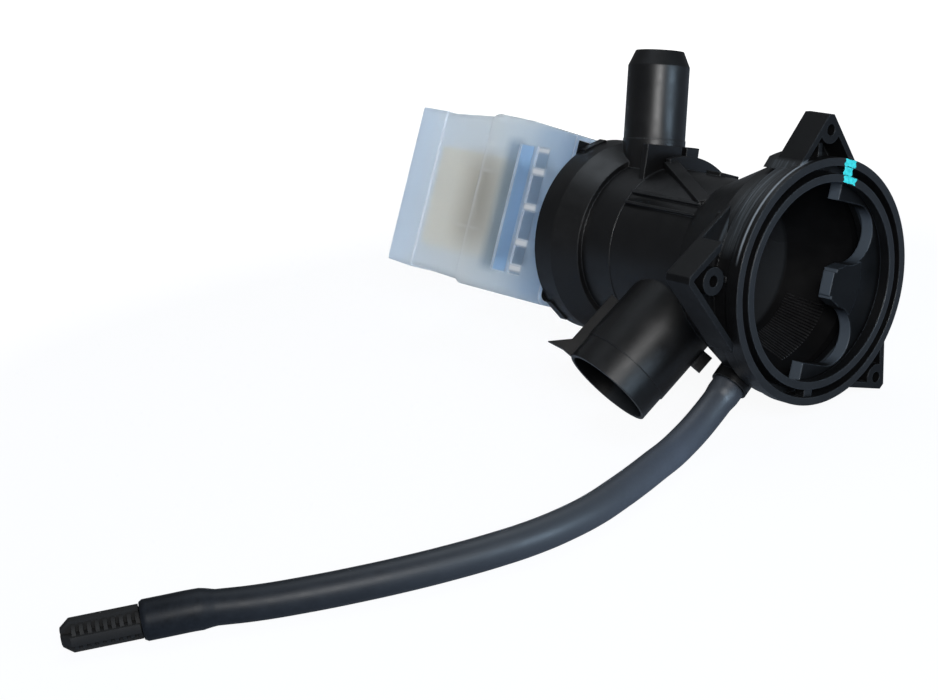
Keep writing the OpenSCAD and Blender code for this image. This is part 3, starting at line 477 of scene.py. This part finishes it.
# The sleeve's pale edge colour is mostly painted highlight on the plate's cut edges
SLEEVE = moulded("sleeve_moulding", (0.0035, 0.0037, 0.004), (0.006, 0.0063, 0.007), (0.06, 0.07, 0.08),
                 edge=0.0008, marks=plate_marks)
FLANGE = two_tone("flange_moulding", (0.004, 0.004, 0.0042), (0.5, 0.52, 0.54), FLANGE_END)
CREAM = moulded("cream_moulding", (0.47, 0.42, 0.32), (0.55, 0.5, 0.39), (0.65, 0.6, 0.5), (0.45, 0.6))
PALE = moulded("pale_moulding", (0.62, 0.6, 0.54), (0.7, 0.68, 0.62), (0.78, 0.77, 0.72), (0.4, 0.55))
GREY = moulded("grey_moulding", (0.2, 0.2, 0.19), (0.26, 0.26, 0.25), (0.4, 0.4, 0.38), (0.4, 0.55))
MILKY = milky("milky_cover")
SEAL = rubber("seal_rubber", (0.012, 0.012, 0.013), (0.02, 0.02, 0.022), (0.5, 0.65))
HOSE = hose_rubber("hose_rubber")
PLUG = rubber("plug_rubber", (0.0025, 0.0025, 0.0028), (0.005, 0.005, 0.0055), (0.66, 0.78))
STEEL = metal("ground_steel", (0.45, 0.46, 0.48), (0.65, 0.66, 0.68), (0.36, 0.48), (1, 8, 1))
RIVET = metal("rivet_steel", (0.35, 0.35, 0.37), (0.55, 0.55, 0.57), (0.3, 0.42))
BRASS = metal("tab_brass", (0.5, 0.38, 0.16), (0.72, 0.57, 0.28), (0.25, 0.38), (6, 1, 1))
CARBON = rubber("pressed_carbon", (0.03, 0.03, 0.032), (0.06, 0.06, 0.063), (0.45, 0.6), 0.3)
FERRITE = rubber("ferrite", (0.025, 0.025, 0.027), (0.05, 0.05, 0.054), (0.4, 0.55), 0.3)
LAYERS = striped("laminations", (0.1, 0.1, 0.11), (0.34, 0.35, 0.37), 0.0008, (0.35, 0.5))
LAYERS.set(Metallic=0.8)
TAPE = striped("winding_tape", (0.3, 0.16, 0.04), (0.5, 0.3, 0.1), 0.006, (0.35, 0.5))
WIRE = striped("enamelled_wire", (0.3, 0.1, 0.03), (0.5, 0.2, 0.06), 0.002, (0.25, 0.35))
PAINT = paint("witness_paint")
COMB = moulded("comb_moulding", (0.0045, 0.0045, 0.005), (0.007, 0.007, 0.0075), (0.035, 0.035, 0.038))

FINISH = {
    "filter_housing": HOUSING, "filter_sleeve": SLEEVE, "volute_housing": BLACK, "volute_seal": SEAL,
    "motor_flange": FLANGE, "front_cushion": SEAL, "front_bearing": CARBON, "rear_cushion": SEAL,
    "rear_bearing": CARBON, "stator_frame": CREAM, "stator_core": LAYERS.material, "core_rivets": RIVET,
    "upper_bobbin": PALE, "lower_bobbin": PALE, "upper_winding": TAPE.material,
    "lower_winding": TAPE.material, "terminal_block": PALE, "terminal_tabs": BRASS,
    "coil_leads": WIRE.material, "motor_cover": MILKY, "drain_hose": HOSE, "rotor_shaft": STEEL,
    "rotor_core": PALE, "rotor_magnet": FERRITE, "thrust_washers": PALE, "drive_dog": GREY,
    "impeller_clip": STEEL, "impeller": PALE, "hose_plug": PLUG,
}


def dress_nodes():
    for name, finish in FINISH.items():
        mesh = nodes[name].data
        mesh.materials.clear()
        mesh.materials.append(finish)


# Drain hose, close to the route of the CAD solid, in millimetres
HOSE_R = 5.55
BORE_R = 3.6
CUFF_R = 6.4
COLLAR_R = 6.0
END_R = 5.8
COLLAR_POINTS = 2
CUFF_POINTS = 4
HOSE_ROUTE = [
    (-31, 18.6, -32.4), (-34, 18.6, -34.3), (-37, 18.5, -36), (-43.5, 17.8, -39),
    (-51, 16.6, -41.6), (-58, 15.2, -43.2), (-66, 13.2, -44.2), (-76, 10.5, -44.4), (-88, 7, -44.4),
    (-100, 4, -44.4), (-113, 1.4, -44.4), (-126, 0.6, -44.4), (-139, 1.5, -44.4),
    (-152, 4.2, -44.4), (-166, 8.4, -44.4), (-180, 13.6, -44.4), (-194, 19.8, -44.4),
    (-208, 26.9, -44.4), (-222, 34.8, -44.2), (-232, 41, -43.6), (-236, 43.4, -43.3),
    (-246, 49.2, -43.6), (-250.7, 51.9, -43.77), (-251.6, 52.4, -43.8)]


def add_hose():
    data = bpy.data.curves.new("hose", "CURVE")
    data.dimensions = "3D"
    data.resolution_u = 6
    data.bevel_depth = HOSE_R * MM
    data.bevel_resolution = 8
    last = len(HOSE_ROUTE) - 1
    spline = data.splines.new("BEZIER")
    spline.bezier_points.add(last)
    for i, (point, place) in enumerate(zip(spline.bezier_points, HOSE_ROUTE)):
        point.co = Vector(place) * MM
        point.handle_left_type = "AUTO"
        point.handle_right_type = "AUTO"
        point.radius = CUFF_R / HOSE_R if i > last - CUFF_POINTS else 1.0
    for point in spline.bezier_points[:COLLAR_POINTS]:
        point.radius = COLLAR_R / HOSE_R
    spline.bezier_points[last].radius = END_R / HOSE_R
    data.materials.append(HOSE)
    hose = bpy.data.objects.new("hose", data)
    scene.collection.objects.link(hose)
    wall = hose.modifiers.new("wall", "SOLIDIFY")
    wall.thickness = (HOSE_R - BORE_R) * MM
    wall.offset = -1
    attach(hose, "pump")
    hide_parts("drain_hose")


def add_piece(name, shape, finish):
    """Makes an object of a bmesh and rides it on the pump."""
    mesh = bpy.data.meshes.new(name)
    bmesh.ops.recalc_face_normals(shape, faces=shape.faces)
    shape.to_mesh(mesh)
    shape.free()
    mesh.materials.append(finish)
    piece = bpy.data.objects.new(name, mesh)
    scene.collection.objects.link(piece)
    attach(piece, "pump")
    return piece


def polar(radius, depth, turn):
    """Point at a radius, depth and turn about the pump axis, all in millimetres and degrees."""
    angle = math.radians(turn)
    return Vector((radius * math.cos(angle), depth, radius * math.sin(angle))) * MM


# Dabs of witness paint: name, two turns in degrees, then inner radius, width and depth in millimetres
DABS = [("rim_dab", (62.4, 70.4), 40.85, 2.5, 0.0), ("groove_dab", (62.8, 69.4), 37.8, 3.1, 0.5),
        ("sleeve_dab", (58.8, 69.2), 35.3, 2.4, 0.0)]
DAB_SINK = -0.02
DAB_LIFT = 0.14
DAB_CELLS = (6, 10)
DAB_RAGS = ((0.09, 9), (0.06, 23))
DAB_SKEW = (0.9, 7)
DAB_RIM = 0.25
DAB_RISE = 6


def add_dab(name, turns, inner, width, depth):
    """Thin ragged patch between two turns, raised at its middle and sunk a little below its depth."""
    shape = bmesh.new()
    across, along = DAB_CELLS
    start, end = turns
    lean, beat = DAB_SKEW
    layers = []
    for lift in (DAB_SINK, DAB_LIFT):
        rows = []
        for i in range(along + 1):
            f = i / along
            ragged = sum(size * math.sin(wave * f + turn) for (size, wave), turn in zip(DAB_RAGS, turns))
            row = []
            for j in range(across + 1):
                g = j / across
                skew = lean * math.sin(beat * g + start) * (f - 0.5)
                edge = min(f, 1 - f, g, 1 - g)
                rise = lift if lift < 0 else lift * min(1.0, DAB_RIM + DAB_RISE * edge)
                turn = start + (end - start) * f + skew
                radius = inner + width * (g + ragged * (g - 0.5))
                row.append(shape.verts.new(polar(radius, depth - rise, turn)))
            rows.append(row)
        layers.append(rows)
    for rows in layers:
        for a, b in zip(rows, rows[1:]):
            for j in range(across):
                shape.faces.new((a[j], a[j + 1], b[j + 1], b[j]))
    low, high = layers
    for i in range(along):
        for j in (0, across):
            shape.faces.new((low[i][j], low[i + 1][j], high[i + 1][j], high[i][j]))
    for j in range(across):
        for i in (0, along):
            shape.faces.new((low[i][j], low[i][j + 1], high[i][j + 1], high[i][j]))
    add_piece(name, shape, PAINT)


def add_paint():
    for dab in DABS:
        add_dab(*dab)


# Comb of fine ribs along the cone of the chamber, in millimetres
CONE_R = 37.7
CONE_SLOPE = 0.4533
CONE_START = 19.5
COMB_DEPTHS = (25.0, 39.0)
RIB_HALF = 0.34
RIB_ROOT = 0.3
RIB_SHOULDER = 0.1
RIB_CREST = 0.42
COMB_TURNS = (-84.0, -36.0)
COMB_PITCH = 2.1


def add_comb():
    shape = bmesh.new()
    turn = COMB_TURNS[0]
    while turn < COMB_TURNS[1]:
        ends = []
        for depth in COMB_DEPTHS:
            radius = CONE_R - CONE_SLOPE * (depth - CONE_START)
            spread = math.degrees(RIB_HALF / radius)
            outline = [(radius + RIB_ROOT, turn - spread), (radius - RIB_SHOULDER, turn - spread),
                       (radius - RIB_CREST, turn), (radius - RIB_SHOULDER, turn + spread),
                       (radius + RIB_ROOT, turn + spread)]
            ends.append([shape.verts.new(polar(r, depth, angle)) for r, angle in outline])
        front, back = ends
        for k in range(len(front)):
            n = (k + 1) % len(front)
            shape.faces.new((front[k], front[n], back[n], back[k]))
        shape.faces.new(front)
        shape.faces.new(reversed(back))
        turn += COMB_PITCH
    comb = add_piece("chamber_comb", shape, COMB)


# Stage: pale floor, soft lamps and a white surround. The floor shows its shade near the object alone
FLOOR_SIDE = 4.0
FLOOR_GLOW = 1.25
FLOOR_GLOSS = 0.1
WORLD_GLOSS = 0.03
WHITE = (1, 1, 1, 1)
SHADE_MIDDLE = (-0.08, 0.08, FLOOR_Z)
SHADE_SHARE = 0.25
SHADE_REACH = (0.25, 0.6)


def seen_white(tree, lit, white, glossy):
    """Mixes to plain white for camera and transmitted rays, and for a share of glossy rays."""
    path = tree.nodes.new("ShaderNodeLightPath")
    total = tree.nodes.new("ShaderNodeMath")
    total.operation = "MAXIMUM"
    tree.links.new(path.outputs["Is Camera Ray"], total.inputs[0])
    tree.links.new(path.outputs["Is Transmission Ray"], total.inputs[1])
    both = tree.nodes.new("ShaderNodeMath")
    both.operation = "MULTIPLY_ADD"
    both.use_clamp = True
    tree.links.new(path.outputs["Is Glossy Ray"], both.inputs[0])
    both.inputs[1].default_value = glossy
    tree.links.new(total.outputs["Value"], both.inputs[2])
    mix = tree.nodes.new("ShaderNodeMixShader")
    tree.links.new(both.outputs["Value"], mix.inputs[0])
    tree.links.new(lit.outputs[0], mix.inputs[1])
    tree.links.new(white.outputs[0], mix.inputs[2])
    return mix


def add_world():
    world = bpy.data.worlds.new("surround")
    world.use_nodes = True
    scene.world = world
    tree = world.node_tree
    lit = tree.nodes["Background"]
    lit.inputs["Color"].default_value = (0.86, 0.92, 1, 1)
    lit.inputs["Strength"].default_value = 0.1
    white = tree.nodes.new("ShaderNodeBackground")
    white.inputs["Color"].default_value = WHITE
    mix = seen_white(tree, lit, white, WORLD_GLOSS)
    tree.links.new(mix.outputs[0], tree.nodes["World Output"].inputs["Surface"])


def add_floor():
    mesh = bpy.data.meshes.new("floor")
    signs = ((-1, -1), (1, -1), (1, 1), (-1, 1))
    corners = [(x * FLOOR_SIDE, y * FLOOR_SIDE, FLOOR_Z) for x, y in signs]
    mesh.from_pydata(corners, [], [(0, 1, 2, 3)])
    floor = bpy.data.objects.new("floor", mesh)
    scene.collection.objects.link(floor)
    s = Shader("floor")
    s.set(Base_Color=(0.28, 0.36, 0.48, 1), Roughness=0.9)
    white = s.node("ShaderNodeEmission", {"Color": WHITE, "Strength": FLOOR_GLOW})
    mix = seen_white(s.tree, s.main, white, FLOOR_GLOSS)
    share = s.span(s.vector("DISTANCE", s.place, SHADE_MIDDLE), SHADE_SHARE, 0.0, *SHADE_REACH)
    shade = s.node("ShaderNodeMixShader", {0: share, 1: mix.outputs[0], 2: s.main.outputs[0]})
    s.put(shade.outputs[0], s.tree.nodes["Material Output"].inputs["Surface"])
    mesh.materials.append(s.material)


def add_lamp(name, place, target, size, power, colour=(1, 1, 1)):
    data = bpy.data.lights.new(name, "AREA")
    data.shape = "RECTANGLE"
    data.size, data.size_y = size
    data.energy = power
    data.color = colour
    lamp = bpy.data.objects.new(name, data)
    lamp.location = place
    lamp.rotation_euler = (Vector(target) - Vector(place)).to_track_quat("-Z", "Y").to_euler()
    scene.collection.objects.link(lamp)


def add_lamps():
    middle = (-0.05, 0.08, 0)
    add_lamp("key", (-0.57, -0.66, 0.41), middle, (0.3, 0.3), 6)
    add_lamp("window", (0.14, -0.85, 0.12), (0.02, 0.08, 0.04), (0.35, 0.45), 4.5, (0.6, 0.8, 1))
    add_lamp("top", (0.1, 0.3, 1.0), middle, (0.7, 0.7), 2.6, (0.84, 0.92, 1))


scene.view_settings.view_transform = "Standard"
add_camera()
add_hose()
dress_nodes()
add_paint()
add_comb()
add_world()
add_floor()
add_lamps()
